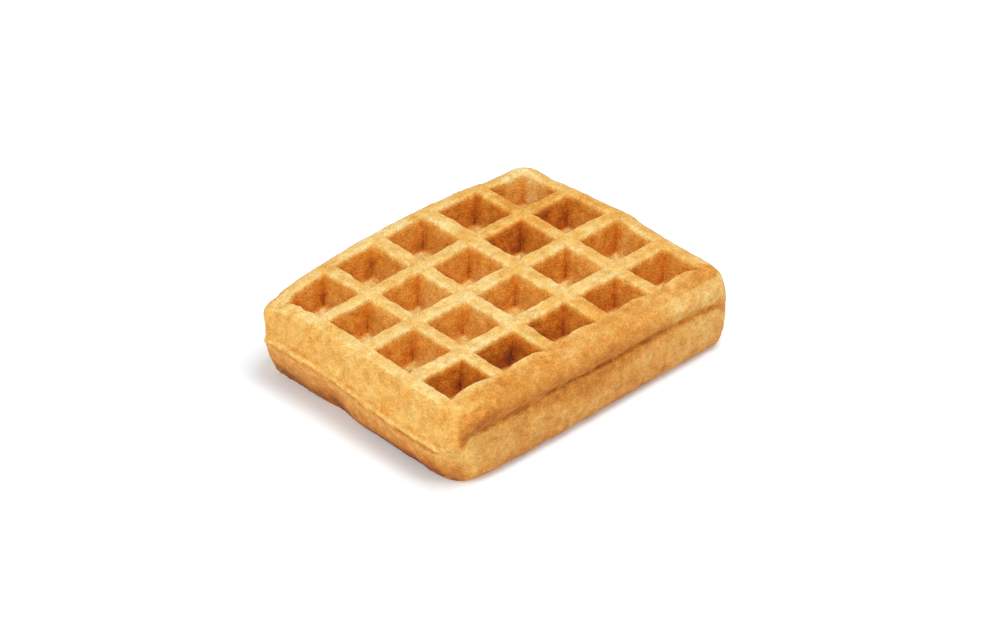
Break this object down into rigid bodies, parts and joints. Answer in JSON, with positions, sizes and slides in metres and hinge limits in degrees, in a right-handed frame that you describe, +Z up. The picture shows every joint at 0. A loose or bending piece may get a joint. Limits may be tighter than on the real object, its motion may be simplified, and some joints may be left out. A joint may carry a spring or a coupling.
{
  "type": "waffle",
  "caption": "Thick rectangular grid waffle with deep square pockets pressed into both faces and a seam around its outer wall.",
  "frame": {"origin": "middle of the outline, in the plane that the underside's ribs lie on", "axes": "+X along the long side, +Y along the short side, +Z up out of the top face"},
  "size_m": [0.1332, 0.1052, 0.0305],
  "materials": {
    "waffle_crust": "matte baked crust"
  },
  "bodies": {
    "root": {"waffle": "waffle_crust"}
  },
  "joints": []
}
